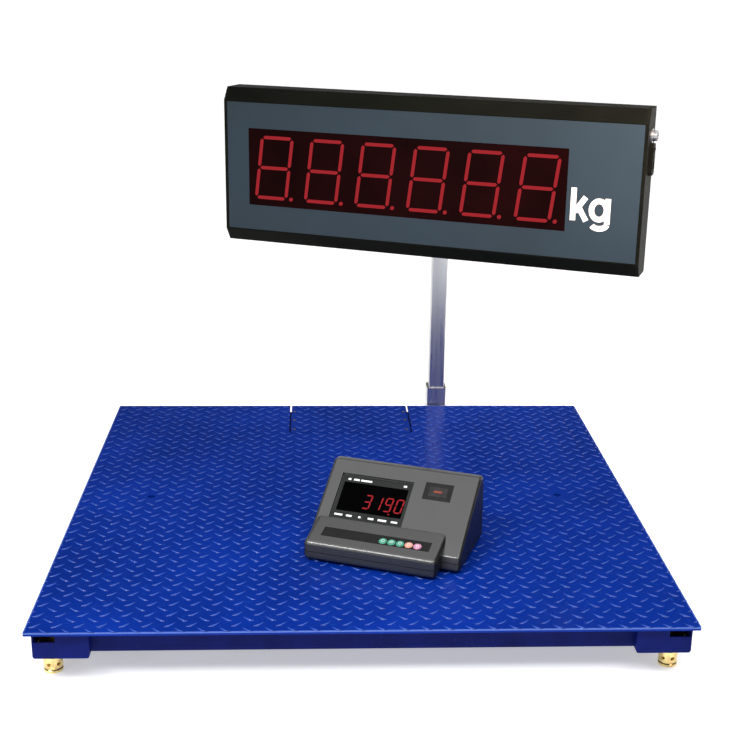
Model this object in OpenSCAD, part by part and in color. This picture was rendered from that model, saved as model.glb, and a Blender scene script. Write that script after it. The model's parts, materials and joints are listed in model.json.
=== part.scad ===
// Platform shipping scale: a tread-plate weighing platform on four load cells and levelling feet,
// a desktop indicator that stands on the deck, and a remote read-out on a rear column.
// Origin: on the floor, at the centre of the four feet. +X right, +Y to the back, +Z up. Millimetres.

/* [Platform] */
// Width of the deck, left to right
deck_w = 1200; // [1000:10:1500]
// Length of the deck, front to back
deck_l = 1200; // [1000:10:1500]
// Height of the deck's top over the floor
deck_h = 114; // [108:1:140]
// Thickness of the tread plate
plate_t = 6; // [4:0.5:8]
// Depth of the edge channels under the plate
channel_h = 48; // [36:1:50]
// Width of a channel's flanges
channel_flange = 40; // [30:1:60]
// Wall of the channels
channel_t = 4; // [3:0.5:6]
// Distance of the channels behind the plate's edge
channel_inset = 32; // [20:1:40]
// Width of a stiffening rib
rib_w = 40; // [30:1:60]
// Height of a stiffening rib
rib_h = 34; // [25:1:36]
// Wall of a rib
rib_t = 3; // [2:0.5:5]

/* [Corners] */
// Distance of a foot's centre from the plate's side edge
foot_in_x = 34; // [33:1:70]
// Distance of a foot's centre from the plate's front or back edge
foot_in_y = 75; // [60:1:90]
// Width of a corner housing
housing_w = 100; // [90:1:120]
// Length of a corner housing
housing_l = 190; // [170:1:240]
// Wall of a corner housing
housing_t = 3; // [2.5:0.5:5]
// Distance of a housing from the plate's side edge
housing_inset_x = 12; // [6:1:13]
// Distance of a housing from the plate's front or back edge
housing_inset_y = 12; // [6:1:20]
// Radius of a housing's lower corners
housing_r = 5; // [4:1:14]

/* [Load cells] */
// Length of a load cell
cell_l = 130; // [120:1:150]
// Side of a load cell's square section
cell_s = 34; // [28:1:36]
// Thickness of the spacer over a load cell
spacer_t = 6; // [4:1:8]
// Reach of a load cell past its foot
cell_nose = 30; // [20:1:34]
// Radius of the two fixing bolts
cell_bolt_r = 6; // [5:0.5:7]
// Distance between the two fixing bolts
cell_bolt_pitch = 25.4; // [24:0.2:30]

/* [Feet] */
// Radius of the floor pad
pad_r = 17.5; // [16:0.5:24]
// Height of the floor pad
pad_h = 6; // [4:0.5:8]
// Radius of the turning collar
collar_r = 17.5; // [15:0.5:18]
// Height of the turning collar
collar_h = 25; // [20:1:28]
// Radius of the foot's threaded stud
stud_r = 8; // [6:0.5:9]
// Radius of the tommy-bar holes
tommy_r = 3.6; // [3:0.1:4]

/* [Hatch] */
// Width of the junction-box hatch
hatch_w = 300; // [260:5:320]
// Length of the junction-box hatch
hatch_l = 200; // [170:5:240]
// Gap round the hatch
hatch_gap = 4; // [2:0.5:5]
// Width of the ledge that the hatch rests on
hatch_ledge = 12; // [10:1:20]
// Width of the junction box
jbox_w = 170; // [140:5:180]
// Length of the junction box
jbox_l = 100; // [80:5:110]
// Height of the junction box
jbox_h = 24; // [20:1:26]

/* [Lifting eyes] */
// Distance of a lifting thread from the plate's side edge
eye_in = 153; // [120:1:200]
// Radius of the lifting thread
eye_r = 8; // [6:0.5:10]
// Length of the lifting boss
eye_l = 20; // [14:1:30]

/* [Column and read-out] */
// Place of the column to the right of the centre line
column_x = 232; // [215:1:300]
// Distance of the column's axis behind the deck's edge
column_out = 36; // [34:1:60]
// Side of the column's square tube
column_s = 40; // [40:1:50]
// Height of the read-out's centre over the floor
read_z = 732; // [680:1:1000]
// Angle that the read-out is turned to, at rest
read_yaw = 23; // [0:1:45]
// Length of the read-out's extruded case
read_w = 1050; // [900:10:1200]
// Height of the read-out's case
read_h = 390; // [340:5:420]
// Depth of the read-out's case
read_d = 90; // [80:1:120]
// Height of the case's face panel
panel_h = 327; // [300:1:350]
// Depth of the chamfer above and below the panel
read_chamfer = 20; // [10:1:24]
// Wall of the extruded case
read_t = 2.2; // [2:0.1:3]
// Length of the display window
window_w = 820; // [700:10:830]
// Height of the display window
window_h = 194; // [180:1:200]
// Distance between two digits
digit_pitch = 136; // [120:1:138]

/* [Indicator] */
// Width of the indicator's main housing
ind_w = 312; // [290:1:330]
// Width of the indicator's front ledge
ledge_w = 270; // [250:1:280]
// Distance from the housing's left side to the ledge's left end
ledge_in = 6; // [2:1:20]
// Angle that the indicator is turned to
ind_yaw = 21; // [0:1:45]
// Place of the indicator's front, to the right of the centre line
ind_x = 26; // [-100:1:100]
// Place of the indicator's front, behind the centre line
ind_y = -374.5; // [-450:0.5:-300]
// Wall of the indicator's shells
ind_t = 2.6; // [2:0.1:3]
// Height of the joint between the two shells
seam_z = 22; // [20:1:26]
// Height of the rubber feet
ind_foot_h = 4; // [3:0.5:6]
// Radius of a key cap
key_r = 8.2; // [7:0.1:8.3]
// Distance between two keys
key_pitch = 17.5; // [17.5:0.1:19]
// Travel of a key
key_travel = 0.8; // [0.5:0.1:1]

/* [Hidden] */
$fn = 64;

// small clearances
fit = 0.05;
loose = 0.3;
over = 1;

// platform levels and places
under = deck_h - plate_t;
foot_x = deck_w / 2 - foot_in_x;
foot_y = deck_l / 2 - foot_in_y;
cell_top = under - spacer_t;
cell_bottom = cell_top - cell_s;
housing_gap = 8;
housing_h = spacer_t + cell_s + housing_gap + housing_t;
housing_bottom = under - housing_h;
housing_out_x = foot_in_x - housing_inset_x;
housing_out_y = foot_in_y - housing_inset_y;
notch_w = 38;
notch_h = 19;
web_x = deck_w / 2 - channel_inset;
web_y = deck_l / 2 - channel_inset;
flange_y = web_y - channel_flange;
front_channel_l = 2 * (foot_x + housing_out_x - housing_w);
side_channel_l = 2 * (foot_y + housing_out_y - housing_l);
rib_x = hatch_w / 2 + rib_w / 2 + 16;
rib_x_out = rib_x + 145;

// load-cell bolts
cell_bolt_y = cell_nose - cell_l + 18;
cell_head_h = 8;

// feet
pad_pin_r = 9;
pad_pin_h = 12;
nut_h = 10;
nut_r = 13.5;
housing_hole_r = nut_r + 5;
collar_z = pad_h + loose;
collar_top = collar_z + collar_h;
tommy_count = 6;
tommy_z = collar_z + 11;

// hatch bay
bay_t = 2;
bay_w = hatch_w + 24;
bay_front = deck_l / 2 - hatch_l - 16;
bay_back = flange_y - 2;
bay_floor = under - 36;
cover_z = under + loose;
cover_t = plate_t - loose;
screw_x = hatch_w / 2 - 8;
screw_r = 2.5;
screw_head_r = 5;
screw_rows = [
  deck_l / 2 - hatch_l + 22,
  deck_l / 2 - hatch_l + 92,
  web_y - 14
];
jbox_x = -bay_w / 2 + 12 + jbox_w / 2;
jbox_y = (bay_front + bay_back) / 2;
jbox_z = bay_floor + bay_t;
jbox_t = 2.5;
lid_t = 3;
gland_r = 5.5;
gland_pitch = 18;

// socket on the rear channel
socket_x = 108;
socket_w = 42;

// column
column_y = deck_l / 2 + column_out;
column_t = 2;
column_foot = under - 42;
column_top = read_z - 127;
sleeve_t = 5;
sleeve_gap = 0.2;
base_w = 90;
base_t = 6;
bolt_dx = 32;
bolt_dz = 9;
bolt_r = 4;
pin_r = 15;
pin_h = 70;
head_r = 22;
tilt_y = -38;
tilt_r = 5;
lug_w = 30;
ear_t = 6;
read_back = -65;
read_front = read_back - read_d;
cap_t = 8;
panel_t = 3;
window_x = -56;
digit_count = 6;
read_side_y = read_back - 44;
read_socket_z = 132;
inlet_z = 78;
inlet_w = 34;
inlet_h = 72;
inlet_in = 28;
inlet_in_h = 60;
inlet_out = 9;
bracket_w = 180;
bracket_h = 100;
bracket_t = 4;
bracket_screw_r = 3;
ear_r = 11;
lug_r = 12;
cap_h = 6;
plug_h = 25;
arm_w = 28;
arm_h = 30;
arm_low = 34;
sleeve_floor = 4;
sleeve_up = 45;
bolt_head_r = 7.4;
bolt_head_h = 5.5;
socket_h = 34;
socket_r = 15;
socket_bore_r = 11.5;
rocker_w = 15;
rocker_h = 26;
rocker_back = 5;
rocker_pivot = 2;
rocker_pivot_r = 1.2;

// indicator form: centres of the rounded corners, as [depth, height]
main_r = 8;
main_pts = [[51, 12], [53, 30], [82, 53], [197, 136], [212, 134], [218, 118], [220, 12]];
ledge_r = 9;
ledge_pts = [[10, 13], [10, 35], [82, 54.5], [82, 13]];
face_angle = atan2(main_pts[3][1] - main_pts[2][1], main_pts[3][0] - main_pts[2][0]);
ledge_angle = atan2(ledge_pts[2][1] - ledge_pts[1][1], ledge_pts[2][0] - ledge_pts[1][0]);
ledge_x = ledge_in + (ledge_w - ind_w) / 2;
rear_y = main_pts[6][0] + main_r;
rear_z = 55;
plug_xs = [-60, -20];
jack_x = 40;
ind_foot_x = 95;
ind_foot_ys = [32, 190];
power_x = 90;
well_w = 150;
well_l = 104;
well_x = -51;
well_y = 8;
well_d = 5;
badge_w = 58;
badge_l = 40;
badge_x = 78;
badge_y = 78;
strip_w = 220;
strip_l = 27;
strip_x = ledge_x + 3;
strip_y = 32;
strip_t = 1;
key_first = ledge_x + 18;
key_y = strip_y - 3;
key_h = 3.5;
key_stand = key_travel + 0.2;

// ---------- helpers ----------
module flip(side, v) {
  if (side < 0) mirror(v) children();
  else children();
}

// one corner's frame: +X to the side edge, +Y to the front or back edge, origin under the foot
module at_corner(side, end) {
  translate([side * foot_x, end * foot_y, 0])
    flip(side, [1, 0, 0])
      flip(end, [0, 1, 0])
        children();
}

module at_corners() {
  for (side = [-1, 1], end = [-1, 1]) at_corner(side, end) children();
}

// a profile drawn as [y, z], drawn out along X
module along_x(length) {
  rotate([90, 0, 90]) linear_extrude(length, center = true) children();
}

module round_square(size, r) {
  square([size[0] - 2 * r, size[1]], center = true);
  square([size[0], size[1] - 2 * r], center = true);
  for (x = [-1, 1], y = [-1, 1])
    translate([x * (size[0] / 2 - r), y * (size[1] / 2 - r)]) circle(r);
}

module round_plate(size, r) {
  linear_extrude(size[2]) round_square([size[0], size[1]], r);
}

// a hexagon-headed bolt, head at z = 0 and below, shank up
module hex_bolt(r, head_r, head_h, length) {
  translate([0, 0, -head_h]) cylinder(r = head_r, h = head_h, $fn = 6);
  cylinder(r = r, h = length);
}

module at_indicator() {
  translate([ind_x, ind_y, deck_h]) rotate([0, 0, -ind_yaw]) children();
}

// on the indicator's sloping face: +Y up the slope, z = 0 at the surface
module on_face() {
  translate([0, main_pts[2][0], main_pts[2][1]])
    rotate([face_angle, 0, 0])
      translate([0, 0, main_r])
        children();
}

// on the front ledge, the same way
module on_ledge() {
  translate([0, ledge_pts[1][0], ledge_pts[1][1]])
    rotate([ledge_angle, 0, 0])
      translate([0, 0, ledge_r])
        children();
}

// the read-out's frame: origin on the column's axis, front to -Y
module at_display() {
  translate([column_x, column_y, read_z]) rotate([0, 0, -read_yaw]) children();
}

// ---------- platform ----------
module hatch_cut(grow, h) {
  reach = hatch_l + grow;
  translate([0, deck_l / 2 - reach / 2 + over, 0])
    round_plate([hatch_w + 2 * grow, reach + 2 * over, h], 8);
}

module deck_plate() {
  color("royalblue")
    difference() {
      translate([0, 0, under]) round_plate([deck_w, deck_l, plate_t], 3);
      translate([0, 0, under - over]) {
        hatch_cut(hatch_gap, plate_t + 2 * over);
        translate([0, deck_l / 2, 0])
          linear_extrude(plate_t + 2 * over)
            square([hatch_w + 2 * hatch_gap, 40], center = true);
      }
      for (side = [-1, 1])
        translate([side * (deck_w / 2 - eye_in), 0, under - over])
          cylinder(r = eye_r, h = plate_t + 2 * over);
    }
}

// channel section as [y, z], web outside at y = 0, open towards -Y
module channel_section() {
  translate([-channel_t, under - channel_h]) square([channel_t, channel_h]);
  translate([-channel_flange, under - channel_h]) square([channel_flange, channel_t]);
  translate([-channel_flange, under - channel_t]) square([channel_flange, channel_t]);
}

module front_channel() {
  color("navy")
    mirror([0, 1, 0])
      translate([0, web_y, 0])
        along_x(front_channel_l) channel_section();
}

module rear_channel() {
  color("navy")
    difference() {
      translate([0, web_y, 0]) along_x(front_channel_l) channel_section();
      for (side = [-1, 1])
        translate([side * screw_x, screw_rows[2], under - channel_t - over])
          cylinder(r = screw_r + fit, h = channel_t + 2 * over);
      column_bolt_places() cylinder(r = bolt_r + fit, h = 60, center = true);
      translate([socket_x, web_y, under - channel_h / 2])
        rotate([90, 0, 0])
          cylinder(r = 12, h = 20, center = true);
    }
}

module side_channels() {
  color("navy")
    for (side = [-1, 1])
      flip(side, [1, 0, 0])
        translate([web_x, 0, 0])
          rotate([0, 0, -90])
            along_x(side_channel_l) channel_section();
}

module rib(length) {
  translate([0, 0, under - rib_h])
    difference() {
      linear_extrude(rib_h) square([rib_w, length], center = true);
      translate([0, 0, rib_t])
        linear_extrude(rib_h)
          square([rib_w - 2 * rib_t, length + 2 * over], center = true);
    }
}

module deck_ribs() {
  color("navy") {
    for (x = [-rib_x_out, -rib_x, rib_x, rib_x_out])
      translate([x, 0, 0]) rib(2 * flange_y);
    translate([0, (bay_front - flange_y) / 2, 0]) rib(bay_front + flange_y);
  }
}

// section of a corner housing as [x, z]: a trough with round lower corners
module housing_section(grow) {
  w = housing_w + 2 * grow;
  h = housing_h + grow;
  r = housing_r + grow;
  translate([housing_out_x - housing_w / 2, under - housing_h - grow]) {
    translate([-w / 2 + r, 0]) square([w - 2 * r, h]);
    translate([-w / 2, r]) square([w, h - r]);
    for (x = [-1, 1]) translate([x * (w / 2 - r), r]) circle(r);
  }
}

module housing_solid(grow, length) {
  rotate([90, 0, 0]) linear_extrude(length) housing_section(grow);
}

module corner_housing() {
  bottom_h = housing_t + 2 * over;
  difference() {
    translate([0, housing_out_y, 0]) housing_solid(0, housing_l);
    difference() {
      translate([0, housing_out_y - housing_t, over])
        housing_solid(-housing_t, housing_l - 2 * housing_t);
      translate([-housing_w, -housing_l, under - over])
        cube([2 * housing_w, 2 * housing_l, 2 * over]);
    }
    translate([
      housing_out_x - housing_w + housing_t, housing_out_y - housing_l + housing_t, under - 2 * over
    ])
      cube([housing_w - 2 * housing_t, housing_l - 2 * housing_t, 4 * over]);
    translate([-notch_w / 2, housing_out_y - housing_t - over, under - notch_h])
      cube([notch_w, housing_t + 2 * over, notch_h + over]);
    translate([0, 0, housing_bottom - over]) cylinder(r = housing_hole_r, h = bottom_h);
    for (n = [0, 1])
      translate([0, cell_bolt_y + n * cell_bolt_pitch, housing_bottom - over])
        cylinder(r = 12.5, h = bottom_h);
  }
}

module corner_housings() {
  color("navy") at_corners() corner_housing();
}

module load_cell() {
  pocket_r = 11;
  difference() {
    translate([-cell_s / 2, cell_nose - cell_l, cell_bottom]) cube([cell_s, cell_l, cell_s]);
    translate([0, 0, cell_bottom - over]) cylinder(r = stud_r + fit, h = cell_s + 2 * over);
    for (n = [0, 1])
      translate([0, cell_bolt_y + n * cell_bolt_pitch, cell_bottom - over])
        cylinder(r = cell_bolt_r + fit, h = cell_s + 2 * over);
    for (x = [-1, 1])
      translate([x * cell_s / 2, cell_nose - cell_l / 2 - 5, cell_bottom + cell_s / 2])
        rotate([0, 90, 0])
          cylinder(r = pocket_r, h = 16, center = true);
  }
}

module load_cells() {
  color("darkkhaki") at_corners() load_cell();
}

module cell_spacers() {
  length = cell_bolt_pitch + 36;
  color("silver")
    at_corners()
      difference() {
        translate([-cell_s / 2, cell_nose - cell_l, cell_top]) cube([cell_s, length, spacer_t]);
        for (n = [0, 1])
          translate([0, cell_bolt_y + n * cell_bolt_pitch, cell_top - over])
            cylinder(r = cell_bolt_r + fit, h = spacer_t + 2 * over);
      }
}

module cell_bolts() {
  color("goldenrod")
    at_corners()
      for (n = [0, 1])
        translate([0, cell_bolt_y + n * cell_bolt_pitch, cell_bottom])
          hex_bolt(cell_bolt_r, 10.8, cell_head_h, cell_s + spacer_t - 0.5);
}

module lifting_bosses() {
  color("navy")
    for (side = [-1, 1])
      translate([side * (deck_w / 2 - eye_in), 0, under - eye_l])
        difference() {
          cylinder(r = eye_r + 7, h = eye_l);
          translate([0, 0, -over]) cylinder(r = eye_r, h = eye_l + 2 * over);
        }
}

// ---------- feet ----------
module foot_pad(side, end) {
  lip = 1.5;
  color("gold")
    at_corner(side, end) {
      rotate_extrude()
        polygon([[0, 0], [pad_r, 0], [pad_r, pad_h - lip], [pad_r - lip, pad_h], [0, pad_h]]);
      cylinder(r = pad_pin_r - fit, h = pad_h + pad_pin_h);
    }
}

module foot_stud(side, end) {
  edge = 1.2;
  color("gold")
    at_corner(side, end) {
      difference() {
        union() {
          translate([0, 0, collar_z])
            rotate_extrude()
              polygon([
                [0, 0], [collar_r - edge, 0], [collar_r, edge],
                [collar_r, collar_h - edge], [collar_r - edge, collar_h], [0, collar_h]
              ]);
          cylinder_from(stud_r, collar_top - over, cell_top - 3);
        }
        translate([0, 0, collar_z - over]) cylinder(r = pad_pin_r, h = pad_pin_h + over + loose);
        for (k = [0 : tommy_count - 1])
          rotate([0, 0, k * 360 / tommy_count + 15])
            translate([collar_r - 5, 0, tommy_z])
              rotate([0, 90, 0])
                cylinder(r = tommy_r, h = 10);
      }
      foot_nut();
    }
}

module cylinder_from(r, low, high) {
  translate([0, 0, low]) cylinder(r = r, h = high - low);
}

// lock nut, drawn tight under the load cell
module foot_nut() {
  translate([0, 0, cell_bottom - loose - nut_h])
    difference() {
      cylinder(r = nut_r, h = nut_h, $fn = 6);
      translate([0, 0, -over]) cylinder(r = stud_r + fit, h = nut_h + 2 * over);
    }
}

// ---------- hatch bay ----------
module junction_tray() {
  height = under - bay_floor;
  length = bay_back - bay_front;
  opening_l = deck_l / 2 - hatch_l + hatch_ledge;
  color("navy")
    difference() {
      translate([-bay_w / 2, bay_front, bay_floor]) cube([bay_w, length, height]);
      translate([-bay_w / 2 + bay_t, bay_front + bay_t, bay_floor + bay_t])
        cube([bay_w - 2 * bay_t, length - 2 * bay_t, height - bay_t - 3]);
      translate([-hatch_w / 2 + hatch_ledge, opening_l, under - 10])
        cube([hatch_w - 2 * hatch_ledge, bay_back - bay_t - opening_l, 20]);
      for (side = [-1, 1], row = [0, 1])
        translate([side * screw_x, screw_rows[row], under - 10])
          cylinder(r = screw_r + fit, h = 20);
    }
}

module junction_box() {
  color("silver")
    translate([jbox_x, jbox_y, jbox_z])
      difference() {
        round_plate([jbox_w, jbox_l, jbox_h], 4);
        translate([0, 0, jbox_t])
          round_plate([jbox_w - 2 * jbox_t, jbox_l - 2 * jbox_t, jbox_h], 2);
        gland_places() cylinder(r = gland_r + fit, h = 20, center = true);
      }
}

// five cable entries along the box's right side
module gland_places() {
  for (k = [-2 : 2])
    translate([jbox_w / 2, k * gland_pitch, jbox_h / 2]) rotate([0, 90, 0]) children();
}

module junction_lid() {
  color("silver")
    translate([jbox_x, jbox_y, jbox_z + jbox_h])
      difference() {
        round_plate([jbox_w, jbox_l, lid_t], 4);
        for (x = [-1, 1], y = [-1, 1])
          translate([x * (jbox_w / 2 - 8), y * (jbox_l / 2 - 8), 1.5]) cylinder(r = 3.5, h = 5);
      }
}

module junction_board() {
  color("seagreen")
    translate([jbox_x, jbox_y, jbox_z + 7]) {
      round_plate([jbox_w - 24, jbox_l - 24, 1.6], 2);
      for (x = [-52 : 26 : 52])
        translate([x - 8, -jbox_l / 2 + 18, 1.6]) cube([16, 12, 9]);
    }
}

module junction_glands() {
  color("dimgray")
    translate([jbox_x, jbox_y, jbox_z])
      gland_places()
        difference() {
          union() {
            translate([0, 0, -6]) cylinder(r = gland_r, h = 8);
            cylinder(r = 8, h = 6, $fn = 6);
            translate([0, 0, 6]) cylinder(r1 = 7.2, r2 = 5.5, h = 9);
          }
          translate([0, 0, -8]) cylinder(r = 2.5, h = 30);
        }
}

module hatch_cover() {
  corner_r = 8;
  color("royalblue")
    difference() {
      translate([0, 0, cover_z])
        intersection() {
          hatch_cut(0, cover_t);
          translate([-deck_w / 2, 0, 0]) cube([deck_w, deck_l / 2, cover_t]);
        }
      for (side = [-1, 1], y = screw_rows)
        translate([side * screw_x, y, cover_z]) {
          translate([0, 0, -over]) cylinder(r = screw_r + 2 * fit, h = cover_t + 2 * over);
          translate([0, 0, cover_t - 3]) cylinder(r = screw_head_r + 2 * fit, h = 3 + over);
        }
    }
}

module hatch_screws() {
  color("dimgray")
    for (side = [-1, 1], y = screw_rows)
      translate([side * screw_x, y, cover_z + cover_t - 3]) {
        difference() {
          cylinder(r = screw_head_r, h = 2.7);
          translate([0, 0, 1.2]) cylinder(r = 2.2, h = 3, $fn = 6);
        }
        translate([0, 0, -7]) cylinder(r = screw_r, h = 8);
      }
}

module platform_socket() {
  color("dimgray")
    translate([socket_x, web_y, under - channel_h / 2])
      difference() {
        union() {
          translate([-socket_w / 2, 0, -socket_h / 2]) cube([socket_w, 6, socket_h]);
          rotate([-90, 0, 0]) cylinder(r = socket_r, h = 40);
          rotate([-90, 0, 0]) translate([0, 0, 30]) cylinder(r = socket_r + 2, h = 12);
        }
        rotate([-90, 0, 0]) translate([0, 0, 22]) cylinder(r = socket_bore_r, h = 30);
      }
}

// ---------- column ----------
module column_bolt_places() {
  for (x = [-1, 1], z = [-1, 1])
    translate([column_x + x * bolt_dx, web_y, under - channel_h / 2 + z * bolt_dz])
      rotate([90, 0, 0])
        children();
}

module column_base() {
  sleeve = column_s + 2 * (sleeve_t + sleeve_gap);
  sleeve_low = column_foot - sleeve_floor;
  sleeve_high = deck_h + sleeve_up;
  reach = column_y - web_y;
  color("lightgray")
    difference() {
      union() {
        translate([column_x - base_w / 2, web_y, under - channel_h]) cube([base_w, base_t, channel_h]);
        translate([column_x - arm_w / 2, web_y, under - arm_low]) cube([arm_w, reach, arm_h]);
        translate([column_x, column_y, sleeve_low])
          round_plate([sleeve, sleeve, sleeve_high - sleeve_low], 4);
      }
      translate([column_x, column_y, column_foot])
        round_plate([column_s + 2 * sleeve_gap, column_s + 2 * sleeve_gap, sleeve_high], 2);
      column_bolt_places() cylinder(r = bolt_r + fit, h = 60, center = true);
    }
}

module column_tube() {
  color("silver")
    translate([column_x, column_y, column_foot])
      difference() {
        round_plate([column_s, column_s, column_top - column_foot], 3);
        translate([0, 0, -over])
          round_plate([column_s - 2 * column_t, column_s - 2 * column_t, column_top], 1.5);
      }
}

module column_cap() {
  plug = column_s - 2 * column_t - 0.4;
  color("dimgray")
    translate([column_x, column_y, column_top]) {
      translate([0, 0, -plug_h]) round_plate([plug, plug, plug_h], 1.5);
      round_plate([column_s, column_s, cap_h], 3);
      translate([0, 0, cap_h]) cylinder(r = pin_r - fit, h = pin_h);
    }
}

module column_bolts() {
  color("silver")
    column_bolt_places()
      translate([0, 0, -base_t])
        hex_bolt(bolt_r, bolt_head_r, bolt_head_h, base_t + channel_t + 6);
}

// the bore for the tilt pin, through a lug or an ear
module tilt_bore(width) {
  translate([0, tilt_y, 0])
    rotate([0, 90, 0])
      cylinder(r = tilt_r + fit, h = width + 2 * over, center = true);
}

module column_head() {
  sleeve_low = column_top - read_z + cap_h + loose;
  color("dimgray")
    at_display()
      difference() {
        union() {
          translate([0, 0, sleeve_low]) cylinder(r = head_r, h = pin_h + 8);
          translate([-lug_w / 2, tilt_y, -60]) cube([lug_w, -tilt_y + 8, 64]);
          translate([0, tilt_y, 0]) rotate([0, 90, 0]) cylinder(r = lug_r, h = lug_w, center = true);
          translate([-lug_w / 2, tilt_y - lug_r, -38]) cube([lug_w, lug_r + 2, 38]);
        }
        translate([0, 0, sleeve_low - over]) cylinder(r = pin_r, h = pin_h + over + loose);
        tilt_bore(lug_w);
      }
}

module tilt_pin() {
  half = lug_w / 2 + loose + ear_t + 2;
  color("silver")
    at_display()
      translate([0, tilt_y, 0])
        rotate([0, 90, 0]) {
          cylinder(r = tilt_r, h = 2 * half, center = true);
          for (side = [-1, 1])
            translate([0, 0, side * (half + 3)]) cylinder(r = 8.5, h = 6, center = true, $fn = 6);
        }
}

// ---------- read-out ----------
// outline of the case as [y, z], drawn in by a wall
module case_outline(wall) {
  slope = read_chamfer / (read_h / 2 - panel_h / 2);
  h = read_h / 2 - wall;
  p = panel_h / 2 - wall * slope / 2;
  polygon([
    [read_front + wall, -p], [read_front + read_chamfer + wall / 2, -h], [read_back - wall, -h],
    [read_back - wall, h], [read_front + read_chamfer + wall / 2, h], [read_front + wall, p]
  ]);
}

module display_frame() {
  lip = 3;
  color("black")
    at_display()
      difference() {
        along_x(read_w)
          difference() {
            case_outline(0);
            case_outline(read_t);
            translate([read_front - over, -panel_h / 2 + lip])
              square([panel_t + 2 * over + read_t, panel_h - 2 * lip]);
          }
        bracket_screws() cylinder(r = bracket_screw_r + fit, h = 20, center = true);
      }
}

module display_caps() {
  color("black")
    at_display()
      for (side = [-1, 1])
        difference() {
          translate([side * (read_w / 2 + cap_t / 2), 0, 0]) along_x(cap_t) case_outline(0);
          if (side > 0) {
            translate([read_w / 2, read_side_y, read_socket_z])
              rotate([0, 90, 0])
                cylinder(r = 9 + fit, h = 60, center = true);
            translate([read_w / 2 - over, read_side_y - inlet_in / 2, inlet_z - inlet_in_h / 2])
              cube([cap_t + 2 * over, inlet_in, inlet_in_h]);
          }
        }
}

module display_panel() {
  color("slategray")
    at_display()
      difference() {
        translate([-read_w / 2 + 0.5, read_front, -panel_h / 2 + 3 + 0.2])
          cube([read_w - 1, panel_t, panel_h - 6 - 0.4]);
        translate([window_x - window_w / 2, read_front - over, -window_h / 2])
          cube([window_w, panel_t + 2 * over, window_h]);
      }
}

module display_window() {
  gap = 0.3;
  color("darkred")
    at_display()
      translate([window_x - window_w / 2 + gap, read_front + 0.6, -window_h / 2 + gap])
        cube([window_w - 2 * gap, panel_t, window_h - 2 * gap]);
}

module display_digits() {
  w = digit_pitch - 2;
  color("darkslategray")
    at_display()
      for (k = [0 : digit_count - 1])
        translate([window_x + (k - (digit_count - 1) / 2) * digit_pitch, read_front + panel_t + 2, 0])
          translate([-w / 2, 0, -window_h / 2 + 4])
            cube([w, 12, window_h - 8]);
}

module display_board() {
  color("seagreen")
    at_display()
      translate([window_x - window_w / 2 + 2, read_front + panel_t + 16, -window_h / 2 - 6])
        cube([window_w - 4, 1.6, window_h + 12]);
}

module display_supply() {
  color("silver")
    at_display()
      translate([230, read_back - read_t - 38, -140])
        difference() {
          cube([170, 36, 80]);
          translate([2, -over, 2]) cube([166, 30, 76]);
        }
}

// the four screws between the case and its bracket, pointing into the case
module bracket_screws() {
  for (side = [-1, 1], z = [-1, 1])
    translate([side * 60, read_back, z * 30])
      rotate([90, 0, 0])
        children();
}

module display_bracket() {
  color("dimgray")
    at_display() {
      difference() {
        translate([-bracket_w / 2, read_back, -bracket_h / 2]) cube([bracket_w, bracket_t, bracket_h]);
        bracket_screws() cylinder(r = bracket_screw_r + fit, h = 20, center = true);
      }
      bracket_screws() translate([0, 0, -bracket_t]) hex_bolt(bracket_screw_r, 5.5, 4, 12);
      for (side = [-1, 1])
        translate([side * (lug_w / 2 + loose + ear_t / 2), 0, 0]) bracket_ear();
    }
}

module bracket_ear() {
  difference() {
    union() {
      translate([0, tilt_y, 0]) rotate([0, 90, 0]) cylinder(r = ear_r, h = ear_t, center = true);
      translate([-ear_t / 2, read_back + bracket_t, -25]) cube([ear_t, 8, 50]);
      translate([-ear_t / 2, read_back + bracket_t, -ear_r])
        cube([ear_t, tilt_y - read_back - bracket_t, 2 * ear_r]);
    }
    tilt_bore(ear_t);
  }
}

module display_socket() {
  out = read_w / 2 + cap_t;
  color("silver")
    at_display()
      translate([out, read_side_y, read_socket_z])
        rotate([0, 90, 0])
          difference() {
            union() {
              cylinder(r = 17, h = 3);
              cylinder(r = 12, h = 14);
              translate([0, 0, -cap_t - 4]) cylinder(r = 9, h = cap_t + 5);
            }
            translate([0, 0, 4]) cylinder(r = 9, h = 20);
          }
}

module display_inlet() {
  out = read_w / 2 + cap_t;
  color("black")
    at_display()
      translate([out, read_side_y, inlet_z])
        difference() {
          union() {
            rotate([90, 0, 90]) linear_extrude(inlet_out) inlet_outline();
            translate([-20, -inlet_in / 2 + 0.2, -inlet_in_h / 2 + 0.2])
              cube([21, inlet_in - 0.4, inlet_in_h - 0.4]);
          }
          translate([inlet_out - 8, -rocker_w / 2 - 0.5, 1 - 0.5])
            cube([20, rocker_w + 1, rocker_h + 1]);
          translate([-10, -10, -inlet_in_h / 2 + 6]) cube([40, 20, 20]);
        }
}

module inlet_outline() {
  c = 6;
  w = inlet_w / 2;
  h = inlet_h / 2;
  polygon([
    [-w + c, -h], [w - c, -h], [w, -h + c], [w, h - c],
    [w - c, h], [-w + c, h], [-w, h - c], [-w, -h + c]
  ]);
}

// rocker: a wedge-faced key that tips on two small trunnions across its middle
module rocker(width, height, depth) {
  translate([-rocker_pivot, 0, 0])
    rotate([90, 0, 0])
      cylinder(r = rocker_pivot_r, h = width + 0.6, center = true);
  rotate([90, 0, 0])
    linear_extrude(width, center = true)
      polygon([
        [-depth, -height / 2 + 2.5], [-depth, height / 2 - 2.5], [1.2, height / 2 - 0.6],
        [2.6, height / 2 - 1.2], [0.4, 0], [1.0, -height / 2 + 0.6], [0, -height / 2 + 0.6]
      ]);
}

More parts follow.
